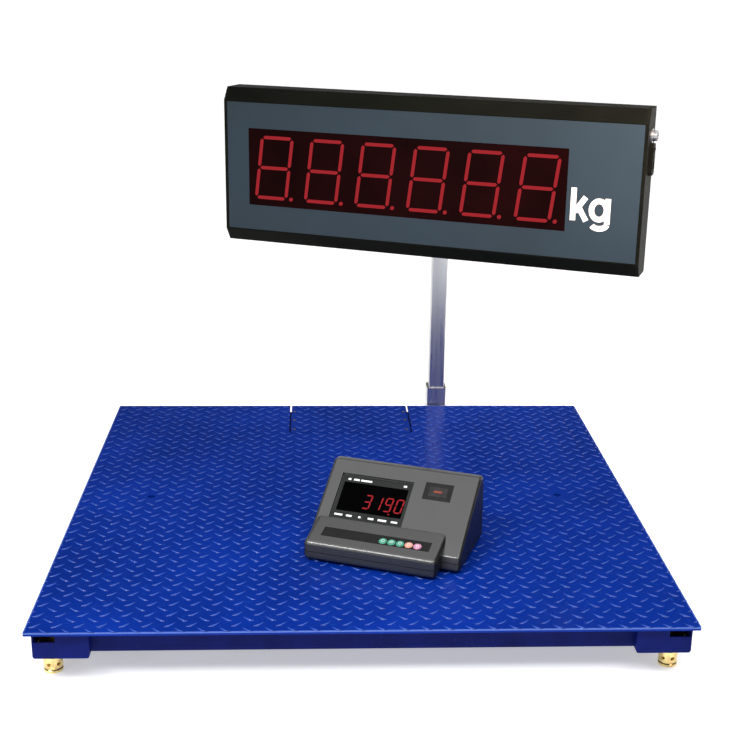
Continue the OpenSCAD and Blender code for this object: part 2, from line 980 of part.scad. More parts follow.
module display_switch() {
  out = read_w / 2 + cap_t + inlet_out;
  color("black")
    at_display()
      translate([out, read_side_y, inlet_z + 1 + rocker_h / 2])
        rocker(rocker_w, rocker_h - 2, rocker_back);
}

// ---------- indicator ----------
// outline of a band of radius r stretched round a convex clockwise list of centres
function normal_angle(a, b) = atan2(b[0] - a[0], a[1] - b[1]);
function turn(a, b) = let (d = b - a) d > 0 ? d - 360 : d;
function wrap(pts, r, steps = 5) = [
  for (i = [0 : len(pts) - 1])
    let (
      n = len(pts),
      from = normal_angle(pts[(i + n - 1) % n], pts[i]),
      sweep = turn(from, normal_angle(pts[i], pts[(i + 1) % n]))
    )
      for (k = [0 : steps])
        pts[i] + r * [cos(from + sweep * k / steps), sin(from + sweep * k / steps)]
];

module indicator_form(inset) {
  along_x(ind_w - 2 * inset) polygon(wrap(main_pts, main_r - inset));
  translate([ledge_x, 0, 0]) along_x(ledge_w - 2 * inset) polygon(wrap(ledge_pts, ledge_r - inset));
}

module below(z) {
  translate([-300, -100, z - 400]) cube([600, 500, 400]);
}

module above(z) {
  translate([-300, -100, z]) cube([600, 500, 400]);
}

module indicator_upper() {
  color("dimgray")
    at_indicator()
      difference() {
        intersection() {
          indicator_form(0);
          above(seam_z + 0.5);
        }
        intersection() {
          indicator_form(ind_t);
          above(seam_z - over);
        }
        on_face() {
          translate([well_x - well_w / 2, well_y, -well_d]) cube([well_w, well_l, 20]);
          translate([badge_x - badge_w / 2, badge_y, -0.8]) cube([badge_w, badge_l, 10]);
        }
        on_ledge() {
          translate([strip_x - strip_w / 2, strip_y - strip_l / 2, -strip_t]) cube([strip_w, strip_l, 10]);
          translate([key_x(0) - 10, key_y - 9.5, -10]) cube([4 * key_pitch + 20, 19, 20]);
        }
        rear_openings();
      }
}

module rear_openings() {
  for (x = plug_xs)
    translate([x, rear_y, rear_z])
      rotate([90, 0, 0])
        cylinder(r = 9 + fit, h = 30, center = true);
  translate([power_x, rear_y, rear_z]) cube([16, 40, 22], center = true);
  translate([jack_x, rear_y, rear_z]) cube([28, 40, 20], center = true);
}

module indicator_lower() {
  lip_h = 4;
  wall = ind_t + 1.6;
  color("black")
    at_indicator()
      difference() {
        union() {
          intersection() {
            indicator_form(0);
            below(seam_z - 0.5);
          }
          intersection() {
            indicator_form(ind_t + 0.2);
            below(seam_z + lip_h);
          }
        }
        intersection() {
          indicator_form(wall);
          below(seam_z + 40);
        }
      }
}

module indicator_window() {
  color("black")
    at_indicator()
      on_face()
        translate([well_x - well_w / 2 + 1, well_y + 1, -well_d - 1.5])
          cube([well_w - 2, well_l - 2, 2]);
}

module indicator_digits() {
  color("darkred")
    at_indicator()
      on_face()
        for (k = [0 : 5])
          translate([well_x - 62 + k * 21, well_y + 28, -well_d - 12])
            cube([20, 42, 10]);
}

module indicator_board() {
  color("seagreen")
    at_indicator()
      on_face()
        translate([-110, 0, -well_d - 15]) cube([190, 108, 1.6]);
}

module indicator_battery() {
  color("dimgray")
    at_indicator()
      translate([-60, 140, 12])
        difference() {
          cube([98, 48, 52]);
          for (x = [20, 78]) translate([x, 24, 50]) cylinder(r = 4, h = 5);
        }
}

module indicator_feet() {
  color("black")
    at_indicator()
      for (x = [-ind_foot_x, ind_foot_x], y = ind_foot_ys)
        translate([x, y, 0])
          rotate_extrude()
            polygon([[0, 0], [7, 0], [8, ind_foot_h], [0, ind_foot_h]]);
}

module indicator_sockets() {
  color("silver")
    at_indicator() {
      for (x = plug_xs)
        translate([x, rear_y, rear_z])
          rotate([-90, 0, 0])
            difference() {
              union() {
                cylinder(r = 13, h = 2.5);
                cylinder(r = 10.5, h = 10);
                translate([0, 0, -8]) cylinder(r = 9, h = 9);
              }
              translate([0, 0, 3]) cylinder(r = 8, h = 10);
            }
      translate([jack_x, rear_y - 4, rear_z])
        difference() {
          translate([-13.8, -5, -9.8]) cube([27.6, 12, 19.6]);
          translate([-10, 0, -6]) cube([20, 12, 12]);
        }
    }
}

module power_switch() {
  color("black")
    at_indicator()
      translate([power_x, rear_y, rear_z])
        rotate([0, 0, 90])
          rocker(14, 20, rocker_back);
}

module keypad_overlay() {
  color("black")
    at_indicator()
      on_ledge()
        difference() {
          translate([strip_x - strip_w / 2 + 0.3, strip_y - strip_l / 2 + 0.3, -strip_t])
            cube([strip_w - 0.6, strip_l - 0.6, strip_t - 0.2]);
          for (k = [0 : 4])
            translate([key_x(k), key_y, -strip_t - over])
              cylinder(r = key_r + loose, h = strip_t + 2 * over);
        }
}

function key_x(k) = key_first + k * key_pitch;

module key(k, tint) {
  color(tint)
    at_indicator()
      on_ledge()
        translate([key_x(k), key_y, key_stand])
          rotate_extrude()
            polygon([[0, -key_h], [key_r, -key_h], [key_r, -0.8], [key_r - 0.8, 0], [0, 0]]);
}

deck_plate();
front_channel();
rear_channel();
side_channels();
deck_ribs();
corner_housings();
load_cells();
cell_spacers();
cell_bolts();
lifting_bosses();
foot_pad(-1, -1);  // foot_pad_fl
foot_pad(1, -1);  // foot_pad_fr
foot_pad(-1, 1);  // foot_pad_rl
foot_pad(1, 1);  // foot_pad_rr
foot_stud(-1, -1);  // foot_stud_fl
foot_stud(1, -1);  // foot_stud_fr
foot_stud(-1, 1);  // foot_stud_rl
foot_stud(1, 1);  // foot_stud_rr
junction_tray();
junction_box();
junction_lid();
junction_board();
junction_glands();
hatch_cover();
hatch_screws();
platform_socket();
column_base();
column_tube();
column_cap();
column_bolts();
column_head();
tilt_pin();
display_frame();
display_caps();
display_panel();
display_window();
display_digits();
display_board();
display_supply();
display_bracket();
display_socket();
display_inlet();
display_switch();
indicator_upper();
indicator_lower();
indicator_window();
indicator_digits();
indicator_board();
indicator_battery();
indicator_feet();
indicator_sockets();
keypad_overlay();
key(0, "mediumseagreen");  // key_1
key(1, "mediumseagreen");  // key_2
key(2, "mediumseagreen");  // key_3
key(3, "coral");  // key_4
key(4, "orchid");  // key_5
power_switch();
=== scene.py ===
"""Platform shipping scale: materials, tread pattern, indicator and read-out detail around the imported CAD."""
import json
import math

import bmesh
import bpy
from mathutils import Matrix, Vector


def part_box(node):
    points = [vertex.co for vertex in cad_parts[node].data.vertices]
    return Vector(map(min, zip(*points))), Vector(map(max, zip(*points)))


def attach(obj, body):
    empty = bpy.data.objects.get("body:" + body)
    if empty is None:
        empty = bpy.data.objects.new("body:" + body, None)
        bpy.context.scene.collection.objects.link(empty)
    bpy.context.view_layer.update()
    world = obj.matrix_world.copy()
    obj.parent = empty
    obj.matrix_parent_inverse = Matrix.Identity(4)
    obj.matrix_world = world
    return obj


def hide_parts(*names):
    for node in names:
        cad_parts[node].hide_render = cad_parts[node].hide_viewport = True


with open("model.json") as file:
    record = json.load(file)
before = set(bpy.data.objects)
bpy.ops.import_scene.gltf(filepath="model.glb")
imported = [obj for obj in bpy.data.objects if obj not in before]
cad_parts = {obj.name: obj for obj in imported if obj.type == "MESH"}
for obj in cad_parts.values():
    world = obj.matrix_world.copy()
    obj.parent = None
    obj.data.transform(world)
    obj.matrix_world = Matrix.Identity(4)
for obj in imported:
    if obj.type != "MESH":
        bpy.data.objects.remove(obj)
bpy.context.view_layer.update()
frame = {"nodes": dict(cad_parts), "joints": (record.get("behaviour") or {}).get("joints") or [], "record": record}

scene = bpy.context.scene
nodes = frame["nodes"]
joints = {j["name"]: j for j in frame["joints"]}
UP = Vector((0, 0, 1))


# ---------------------------------------------------------------- camera and studio
def aim_camera():
    """A level-headed view down onto the deck from the front, a little left of centre."""
    place = Vector((-0.092, -2.633, 1.246))
    heading, dip, tilt = (math.radians(a) for a in (2.83, 17.92, 0.90))
    ahead = Vector((
        math.sin(heading) * math.cos(dip),
        math.cos(heading) * math.cos(dip),
        -math.sin(dip),
    ))
    level = Vector((math.cos(heading), -math.sin(heading), 0))
    above = level.cross(ahead)
    right = level * math.cos(tilt) + above * math.sin(tilt)
    upward = above * math.cos(tilt) - level * math.sin(tilt)
    data = bpy.data.cameras.new("camera")
    data.lens, data.sensor_width = 62.2, 36
    camera = bpy.data.objects.new("camera", data)
    turn = Matrix((right, upward, -ahead)).transposed().to_4x4()
    camera.matrix_world = Matrix.Translation(place) @ turn
    scene.collection.objects.link(camera)
    scene.camera = camera


def area_light(name, place, target, size, power, tint=(1, 1, 1), beam=180):
    """A soft rectangular lamp aimed at a target; its beam is the cone that it lights, in degrees."""
    data = bpy.data.lights.new(name, "AREA")
    data.shape, data.energy, data.color = "RECTANGLE", power, tint
    data.size, data.size_y, data.spread = *size, math.radians(beam)
    light = bpy.data.objects.new(name, data)
    light.location = place
    light.rotation_euler = (Vector(target) - Vector(place)).to_track_quat("-Z", "Y").to_euler()
    scene.collection.objects.link(light)


def light_studio():
    """A white ceiling and horizon round a dim room, with soft lamps in front."""
    world = bpy.data.worlds.new("studio")
    scene.world = world
    world.use_nodes = True
    tree = world.node_tree
    where = tree.nodes.new("ShaderNodeTexCoord")
    split = tree.nodes.new("ShaderNodeSeparateXYZ")
    tree.links.new(where.outputs["Generated"], split.inputs["Vector"])

    def glow_by_height(low, high, at_low, at_high):
        band = tree.nodes.new("ShaderNodeMapRange")
        band.interpolation_type = "SMOOTHSTEP"
        for socket, value in zip(("From Min", "From Max", "To Min", "To Max"), (low, high, at_low, at_high)):
            band.inputs[socket].default_value = value
        tree.links.new(split.outputs["Z"], band.inputs["Value"])
        return band.outputs["Result"]

    total = tree.nodes.new("ShaderNodeMath")
    total.operation = "ADD"
    tree.links.new(glow_by_height(0.60, 0.92, 0.06, 1.45), total.inputs[0])
    tree.links.new(glow_by_height(0.06, 0.20, 0.94, 0.0), total.inputs[1])
    sky = tree.nodes["Background"]
    sky.inputs["Color"].default_value = (1, 1, 1, 1)
    tree.links.new(total.outputs[0], sky.inputs["Strength"])
    area_light("front_strip", (0.45, -2.0, 2.3), (0.1, -0.4, 0.1), (3.0, 0.8), 46)
    area_light("lip", (-1.35, -1.65, 2.2), (0.0, -0.42, 0.13), (1.1, 0.6), 6.0, beam=60)
    area_light("left_low", (-1.7, -1.9, 0.8), (0, -0.3, 0.1), (0.5, 0.3), 5)
    area_light("panel", (1.05, -0.6, 1.5), (0.72, 0.40, 0.95), (0.3, 0.3), 9, tint=(1, 0.70, 0.56), beam=70)
    scene.view_settings.view_transform = "Standard"


def lay_floor():
    mesh = bpy.data.meshes.new("floor")
    half = 80
    corners = [(-half, -half, 0), (half, -half, 0), (half, half, 0), (-half, half, 0)]
    mesh.from_pydata(corners, [], [(0, 1, 2, 3)])
    floor = bpy.data.objects.new("floor", mesh)
    scene.collection.objects.link(floor)
    mesh.materials.append(finish("floor_white", (0.93, 0.93, 0.93), rough=0.7, spread=0.01, bump=0.02,
                                 glow=(1, 1, 1), glow_power=0.44))


# ---------------------------------------------------------------- materials
finishes = {}


def finish(
    name, colour, rough=0.45, metal=0.0, spread=0.12, grain=9.0, bump=0.15, fine=900.0, relief=0.0002,
    stretch=(1, 1, 1), scuff=None, scuff_scale=45.0, scuff_from=0.66, glow=None, glow_power=0.0,
    rough_spread=0.12, highlight_mask=None, highlight_tint=None, shine=0.2,
):
    """A surface with mottled colour and roughness, fine grain in relief, optional scuffs and an optional painted
    highlight.
    """
    if name in finishes:
        return finishes[name]
    material = finishes[name] = bpy.data.materials.new("finish_" + name)
    material.use_nodes = True
    tree = material.node_tree
    shader = tree.nodes["Principled BSDF"]
    add, link = tree.nodes.new, tree.links.new
    shader.inputs["Metallic"].default_value = metal
    shader.inputs["Specular IOR Level"].default_value = 0.5 if metal > 0.5 else shine
    if glow:
        shader.inputs["Emission Color"].default_value = (*glow, 1)
        shader.inputs["Emission Strength"].default_value = glow_power
    where = add("ShaderNodeTexCoord")
    mapping = add("ShaderNodeMapping")
    mapping.inputs["Scale"].default_value = stretch
    link(where.outputs["Object"], mapping.inputs["Vector"])

    def noise(scale, detail=4.0):
        node = add("ShaderNodeTexNoise")
        node.inputs["Scale"].default_value = scale
        node.inputs["Detail"].default_value = detail
        link(mapping.outputs["Vector"], node.inputs["Vector"])
        return node.outputs["Fac"]

    def spread_over(value, low, high):
        node = add("ShaderNodeMapRange")
        node.inputs["From Min"].default_value, node.inputs["From Max"].default_value = 0.3, 0.7
        node.inputs["To Min"].default_value, node.inputs["To Max"].default_value = low, high
        link(value, node.inputs["Value"])
        return node.outputs["Result"]

    def blend(amount, first, second):
        node = add("ShaderNodeMix")
        node.data_type = "RGBA"
        link(amount, node.inputs["Factor"])
        for socket, value in (("A", first), ("B", second)):
            target = next(s for s in node.inputs if s.name == socket and s.type == "RGBA")
            if isinstance(value, tuple):
                target.default_value = (*value, 1)
            else:
                link(value, target)
        return next(s for s in node.outputs if s.type == "RGBA")

    dark = tuple(c * (1 - spread) for c in colour)
    light = tuple(min(1, c * (1 + spread)) for c in colour)
    paint = blend(spread_over(noise(grain), 0, 1), dark, light)
    if scuff:
        marks = add("ShaderNodeMapRange")
        marks.inputs["From Min"].default_value = scuff_from
        marks.inputs["From Max"].default_value = scuff_from + 0.08
        marks.inputs["To Max"].default_value = 0.7
        link(noise(scuff_scale, 9.0), marks.inputs["Value"])
        paint = blend(marks.outputs["Result"], paint, scuff)
    # painted highlight: the masked part takes a paler tint
    if highlight_mask:
        paint = blend(highlight_mask(tree, where), paint, highlight_tint)
    link(paint, shader.inputs["Base Color"])
    low, high = max(0.03, rough - rough_spread / 2), min(1, rough + rough_spread / 2)
    link(spread_over(noise(grain * 5), low, high), shader.inputs["Roughness"])
    ridge = add("ShaderNodeBump")
    ridge.inputs["Strength"].default_value = bump
    ridge.inputs["Distance"].default_value = relief
    link(noise(fine, 2.0), ridge.inputs["Height"])
    link(ridge.outputs["Normal"], shader.inputs["Normal"])
    return material


def rim_highlight(low, high, width, depth):
    """A painted highlight where the top corner of a plate's four sides catches the light: 1 on the corner and 0
    away from it.
    """
    middle, half = (low + high) / 2, (high - low) / 2

    def mask(tree, where):
        add, link = tree.nodes.new, tree.links.new
        split = add("ShaderNodeSeparateXYZ")
        link(where.outputs["Object"], split.inputs["Vector"])

        def operate(kind, first, second):
            node = add("ShaderNodeMath")
            node.operation = kind
            for socket, value in zip(node.inputs, (first, second)):
                if isinstance(value, float):
                    socket.default_value = value
                else:
                    link(value, socket)
            return node.outputs[0]

        def near_side(axis):
            away = operate("ABSOLUTE", operate("SUBTRACT", split.outputs[axis], middle[axis]), 0.0)
            return operate("GREATER_THAN", away, half[axis] - width)

        side = operate("MAXIMUM", near_side(0), near_side(1))
        return operate("MULTIPLY", side, operate("GREATER_THAN", split.outputs["Z"], high.z - depth))

    return mask


deck_low, deck_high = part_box("deck_plate")
STEEL_BLUE = (0.0020, 0.021, 0.215)
STEEL_NAVY = (0.0030, 0.0070, 0.085)
CASE_BLACK = (0.0050, 0.0056, 0.0040)
SHELL_GREY = (0.029, 0.030, 0.029)

SHELL_FINISH = dict(
    colour=SHELL_GREY, rough=0.30, spread=0.06, grain=25, fine=2600, bump=0.06, shine=0.85, rough_spread=0.03,
)

SLOT_FINISH = {
    # the deck's enamel carries a painted highlight, paler along the top corner of the plate's sides
    "blue_paint": dict(colour=STEEL_BLUE, rough=0.24, spread=0.20, grain=5, fine=420, bump=0.16, shine=0.07,
                       scuff=(0.004, 0.036, 0.27), scuff_scale=60, scuff_from=0.64,
                       highlight_mask=rim_highlight(deck_low, deck_high, 0.0022, 0.0022), highlight_tint=(0.075, 0.13, 0.42)),
    "navy_paint": dict(colour=STEEL_NAVY, rough=0.42, spread=0.25, grain=14, fine=420, shine=0.05,
                       scuff=(0.010, 0.020, 0.11), scuff_from=0.66),
    "cell_plate": dict(colour=(0.78, 0.50, 0.20), rough=0.45, metal=0.6, spread=0.25, grain=60, fine=1500),
    "zinc_yellow": dict(colour=(0.82, 0.62, 0.27), rough=0.24, metal=1.0, spread=0.30, grain=90, fine=1800,
                        scuff=(0.62, 0.38, 0.16), scuff_scale=80, scuff_from=0.60),
    "bright_steel": dict(colour=(0.55, 0.55, 0.56), rough=0.30, metal=1.0, spread=0.12, grain=80, fine=1500),
    "stainless": dict(colour=(0.58, 0.59, 0.60), rough=0.32, metal=1.0, spread=0.10, grain=30,
                      stretch=(1, 1, 0.03), fine=1600, bump=0.35, relief=0.0001),
    "black_rubber": dict(colour=(0.012, 0.012, 0.012), rough=0.75, spread=0.3, grain=60, fine=1200, bump=0.4),
    "black_nylon": dict(colour=(0.012, 0.012, 0.014), rough=0.5, spread=0.25, grain=50, fine=1500, bump=0.3),
    "board_green": dict(colour=(0.02, 0.16, 0.07), rough=0.35, spread=0.3, grain=120, fine=900, shine=0.4),
    "case_black": dict(colour=CASE_BLACK, rough=0.42, shine=0.04, spread=0.25, grain=12, fine=1800, bump=0.35,
                       stretch=(0.2, 1, 1), scuff=(0.016, 0.017, 0.014), scuff_from=0.66),
    "cap_black": dict(colour=CASE_BLACK, rough=0.5, spread=0.3, grain=30, fine=2200, bump=0.45, shine=0.05),
    "panel_grey": dict(colour=(0.021, 0.037, 0.051), rough=0.42, spread=0.10, grain=3.5, fine=2400, bump=0.2,
                       shine=0.2),
    "red_filter": dict(colour=(0.0075, 0.0008, 0.0010), rough=0.22, spread=0.30, grain=7, fine=600, bump=0.02,
                       rough_spread=0.05, shine=0.02),
    "digit_module": dict(colour=(0.02, 0.002, 0.002), rough=0.5),
    "shell_grey": SHELL_FINISH,
    "shell_black": SHELL_FINISH,
    "window_black": dict(colour=(0.016, 0.018, 0.017), rough=0.4, spread=0.25, grain=30, fine=1500, bump=0.1,
                         shine=0.1),
    "overlay_black": dict(colour=(0.006, 0.006, 0.006), rough=0.38, spread=0.3, grain=70, fine=2500,
                          bump=0.3),
    "key_green": dict(colour=(0.050, 0.26, 0.17), rough=0.35, spread=0.25, grain=160, fine=1500, shine=0.4),
    "key_orange": dict(colour=(0.60, 0.27, 0.20), rough=0.35, spread=0.2, grain=160, fine=1500, shine=0.4),
    "key_pink": dict(colour=(0.48, 0.20, 0.32), rough=0.35, spread=0.25, grain=160, fine=1500, shine=0.4),
    "battery_case": dict(colour=(0.03, 0.032, 0.038), rough=0.5),
}


def paint_nodes():
    for part in frame["record"]["subparts"]:
        node = nodes[part["node"]]
        node.data.materials.clear()
        node.data.materials.append(finish(part["material_slot"], **SLOT_FINISH[part["material_slot"]]))


# ---------------------------------------------------------------- mesh helpers
def add_object(name, mesh, body, material=None, turn=None):
    if turn is not None:
        mesh.transform(turn)
    piece = bpy.data.objects.new(name, mesh)
    scene.collection.objects.link(piece)
    if material:
        mesh.materials.append(material)
    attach(piece, body)
    return piece


def mesh_of(name, verts, faces):
    mesh = bpy.data.meshes.new(name)
    mesh.from_pydata([tuple(v) for v in verts], [], faces)
    mesh.update()
    return mesh


def soften(mesh, angle=35):
    for face in mesh.polygons:
        face.use_smooth = True
    mesh.set_sharp_from_angle(angle=math.radians(angle))


def basis(origin, right, back):
    """The matrix of a local frame whose +X is right and +Y is back."""
    right, back = right.normalized(), back.normalized()
    up = right.cross(back)
    turn = Matrix((right, back, up)).transposed().to_4x4()
    return Matrix.Translation(origin) @ turn


def slab(width, length, height, bevel, steps=3):
    """A plate centred on the origin in X and Y, standing on z = 0, with rounded edges."""
    build = bmesh.new()
    bmesh.ops.create_cube(build, size=1)
    for vert in build.verts:
        vert.co = Vector((vert.co.x * width, vert.co.y * length, (vert.co.z + 0.5) * height))
    bmesh.ops.bevel(build, geom=build.edges[:], offset=bevel, segments=steps, profile=0.5, affect="EDGES")
    mesh = bpy.data.meshes.new("slab")
    build.to_mesh(mesh)
    build.free()
    soften(mesh)
    return mesh


# ---------------------------------------------------------------- tread plate
TREAD_PITCH = 0.0395
BAR_LENGTH = 0.029
BAR_HALF_WIDTH = 0.0022
BAR_HEIGHT = 0.0020
BAR_BOW = 0.0052
BAR_LEAN = math.radians(37)
BAR_ROWS = 8
BAR_COLUMNS = 4
EDGE_MARGIN = 0.0004
HATCH_GAP = 0.004
EYE_CLEARANCE = 0.022
SCREW_CLEARANCE = 0.016


def bar_points(centre, lean, top):
    """One raised bar: a bowed sliver, pointed at both ends and domed across."""
    points = []
    for i in range(BAR_ROWS + 1):
        t = -1 + 2 * i / BAR_ROWS
        swell = max(0.0, 1 - t * t) ** 0.6
        for k in range(BAR_COLUMNS + 1):
            s = -1 + 2 * k / BAR_COLUMNS
            x = t * BAR_LENGTH / 2
            y = s * BAR_HALF_WIDTH * (0.06 + swell)
            height = BAR_HEIGHT * swell * (1 - s * s) ** 0.8
            bowed = BAR_BOW * (t * t - 0.4)
            px = x * math.cos(lean) - y * math.sin(lean)
            py = x * math.sin(lean) + y * math.cos(lean) + bowed
            points.append((centre[0] + px, centre[1] + py, top - 0.0002 + height))
    return points


def bar_faces(first):
    step = BAR_COLUMNS + 1
    starts = [first + i * step + k for i in range(BAR_ROWS) for k in range(BAR_COLUMNS)]
    return [(n, n + step, n + step + 1, n + 1) for n in starts]


def cut_to(mesh, planes):
    """Keeps what lies on the inner side of each plane, given as (point, outward normal)."""
    build = bmesh.new()
    build.from_mesh(mesh)
    for point, normal in planes:
        geometry = build.verts[:] + build.edges[:] + build.faces[:]
        bmesh.ops.bisect_plane(build, geom=geometry, plane_co=point, plane_no=normal, clear_outer=True)
    build.to_mesh(mesh)
    build.free()


def sides_of(low, high, margin):
    return [
        (Vector((low.x + margin, 0, 0)), Vector((-1, 0, 0))),
        (Vector((high.x - margin, 0, 0)), Vector((1, 0, 0))),
        (Vector((0, low.y + margin, 0)), Vector((0, -1, 0))),
        (Vector((0, high.y - margin, 0)), Vector((0, 1, 0))),
    ]


def lay_tread():
    low, high = deck_low, deck_high
    cover_low, cover_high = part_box("hatch_cover")
    eyes = [Vector(m["pos_m"]) for m in frame["record"]["mounts"] if m["name"].startswith("lifting_eye")]
    screw_low, screw_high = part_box("hatch_screws")
    keep_in = BAR_LENGTH / 2
    deck_bars, cover_bars = [], []
    columns = int((high.x - low.x) / TREAD_PITCH) + 3
    rows = int((high.y - low.y) / TREAD_PITCH) + 3
    for half in (0, 1):
        lean = BAR_LEAN if half == 0 else -BAR_LEAN
        for i in range(columns):
            for j in range(rows):
                x = low.x + (i - 0.6 + half / 2) * TREAD_PITCH
                y = low.y + (j - 0.35 + half / 2) * TREAD_PITCH
                if any((Vector((x, y)) - eye.to_2d()).length < EYE_CLEARANCE for eye in eyes):
                    continue
                at_cover_x = min(x - cover_low.x, cover_high.x - x)
                at_cover_y = y - cover_low.y
                inside = min(at_cover_x, at_cover_y)
                if abs(at_cover_x) < keep_in and abs(at_cover_y) < keep_in:
                    continue
                at_screw = min(abs(x - screw_low.x), abs(x - screw_high.x))
                near_screw = at_screw < SCREW_CLEARANCE and y > cover_low.y
                if inside > -keep_in and not near_screw:
                    cover_bars.append((x, y, lean))
                if inside < keep_in:
                    deck_bars.append((x, y, lean))

    def build(name, bars, top):
        verts, faces = [], []
        for x, y, lean in bars:
            faces += bar_faces(len(verts))
            verts += bar_points((x, y), lean, top)
        return mesh_of(name, verts, faces)

    def make(name, mesh, body):
        soften(mesh, 80)
        add_object(name, mesh, body, material=tread_finish(deck_high.z))

    field = build("tread_field", deck_bars, high.z)
    cut_to(field, sides_of(low, high, EDGE_MARGIN))
    remove_inside(field, cover_low, cover_high, HATCH_GAP)
    make("tread_bars", field, "platform")
    cover = build("tread_cover", cover_bars, cover_high.z)
    cut_to(cover, sides_of(cover_low, cover_high, EDGE_MARGIN))
    make("hatch_tread_bars", cover, "hatch")


def remove_inside(mesh, low, high, gap):
    """Cuts the bars back from the hatch opening, and drops what would lie over it."""
    build = bmesh.new()
    build.from_mesh(mesh)
    lines = [(0, low.x - gap), (0, high.x + gap), (1, low.y - gap)]
    for axis, value in lines:
        point, normal = Vector(), Vector()
        point[axis], normal[axis] = value, 1
        geometry = build.verts[:] + build.edges[:] + build.faces[:]
        bmesh.ops.bisect_plane(build, geom=geometry, plane_co=point, plane_no=normal)

    def lies_over(face):
        middle = face.calc_center_median()
        return low.x - gap < middle.x < high.x + gap and middle.y > low.y - gap

    over = [face for face in build.faces if lies_over(face)]
    bmesh.ops.delete(build, geom=over, context="FACES")
    build.to_mesh(mesh)
    build.free()


def tread_finish(top):
    """The same enamel, with a painted highlight: paler along the crown of each bar."""
    # painted highlight: 0 low on each bar, rising to 1 towards its crown
    def crown(tree, where):
        add, link = tree.nodes.new, tree.links.new
        split = add("ShaderNodeSeparateXYZ")
        link(where.outputs["Object"], split.inputs["Vector"])
        crown_highlight = add("ShaderNodeMapRange")
        crown_highlight.inputs["From Min"].default_value = top + BAR_HEIGHT * 0.30
        crown_highlight.inputs["From Max"].default_value = top + BAR_HEIGHT * 0.75
        link(split.outputs["Z"], crown_highlight.inputs["Value"])
        return crown_highlight.outputs["Result"]

    return finish("tread_paint_and_highlight", STEEL_BLUE, rough=0.24, spread=0.2, grain=40, fine=700, shine=0.3,
                  highlight_mask=crown, highlight_tint=(0.032, 0.090, 0.40))


# ---------------------------------------------------------------- seven-segment digits
SEGMENTS = {"0": "abcdef", "1": "bc", "3": "abgcd", "8": "abcdefg", "9": "abcdfg"}


def segment_outline(letter, width, height, thick, gap):
    """A bar with pointed ends, lying along one side of the figure eight."""
    half_w, half_h = width / 2, height / 2
    ends = {
        "a": ((-half_w, half_h), (half_w, half_h)), "g": ((-half_w, 0), (half_w, 0)),
        "d": ((-half_w, -half_h), (half_w, -half_h)), "f": ((-half_w, 0), (-half_w, half_h)),
        "b": ((half_w, 0), (half_w, half_h)), "e": ((-half_w, -half_h), (-half_w, 0)),
        "c": ((half_w, -half_h), (half_w, 0)),
    }[letter]
    start, end = Vector(ends[0]), Vector(ends[1])
    along = (end - start).normalized()
    across = Vector((-along.y, along.x)) * thick / 2
    start, end = start + along * gap, end - along * gap
    reach = along * thick / 2
    return [
        start, start + reach + across, end - reach + across,
        end, end - reach - across, start + reach - across,
    ]


def figure(
    verts, faces, sign, centre, width, height, thick, gap, lean, depth, dot=False, dot_out=1.75, dot_drop=0.0,
):
    """Adds one figure's raised segments, drawn in the local X, Z plane and raised towards -Y."""
    outlines = [segment_outline(s, width, height, thick, gap) for s in SEGMENTS[sign]]
    if dot:
        r = thick * 0.62
        cx, cz = width / 2 + thick * dot_out, -height / 2 - thick * dot_drop
        angles = [math.tau * k / 10 for k in range(10)]
        outlines.append([Vector((cx + r * math.cos(a), cz + r * math.sin(a))) for a in angles])
    for outline in outlines:
        first, count = len(verts), len(outline)
        for level in (0, -depth):
            for point in outline:
                verts.append((centre[0] + point.x + point.y * math.tan(lean), level, centre[1] + point.y))
        faces.append(tuple(first + k for k in range(count)))
        faces.append(tuple(first + count + k for k in reversed(range(count))))
        for k in range(count):
            n = (k + 1) % count
            faces.append((first + k, first + count + k, first + count + n, first + n))


def closed(mesh):
    build = bmesh.new()
    build.from_mesh(mesh)
    bmesh.ops.recalc_face_normals(build, faces=build.faces[:])
    build.to_mesh(mesh)
    build.free()
    return mesh


def lit(name, power):
    return finish(name, (0.02, 0.001, 0.001), rough=0.4, spread=0.3, grain=180, shine=0.02,
                  glow=(1.0, 0.055, 0.075), glow_power=power)


# ---------------------------------------------------------------- remote read-out
def read_frame():
    tilt = Vector(joints["display_tilt"]["axis"])
    swivel = Vector(joints["display_swivel"]["pos_m"])
    return basis(swivel, tilt, UP.cross(tilt))


def local_box(node, turn):
    inverse = turn.inverted()
    points = [inverse @ v.co for v in nodes[node].data.vertices]
    low = Vector([min(p[i] for p in points) for i in range(3)])
    high = Vector([max(p[i] for p in points) for i in range(3)])
    return low, high


DIGIT_COUNT = 6
DIGIT_WIDTH = 0.082
DIGIT_HEIGHT = 0.152
DIGIT_STROKE = 0.0082
UNIT_BASE = -0.069
UNIT_HEIGHT = 0.077


def dress_read_out():
    turn = read_frame()
    low, high = local_box("display_window", turn)
    face = low.y - 0.0002
    panel_low, _ = local_box("display_panel", turn)
    pitch = (high.x - low.x) / DIGIT_COUNT * 0.995
    verts, faces = [], []
    for k in range(DIGIT_COUNT):
        centre = (low.x + pitch * (k + 0.515), (low.z + high.z) / 2)
        figure(verts, faces, "8", centre, DIGIT_WIDTH, DIGIT_HEIGHT, DIGIT_STROKE, 0.0030,
               math.radians(7), 0.0012, dot=True)
    mesh = closed(mesh_of("read_out_digits", verts, faces))
    add_object("read_out_digits", mesh, "display", material=lit("led_large", 0.33),
               turn=turn @ Matrix.Translation((0, face, 0)))
    add_object("unit_mark", unit_mark(), "display",
               material=finish("print_white", (0.86, 0.86, 0.86), rough=0.5, spread=0.05, grain=60),
               turn=turn @ Matrix.Translation((high.x + 0.011, panel_low.y - 0.0001, UNIT_BASE)))


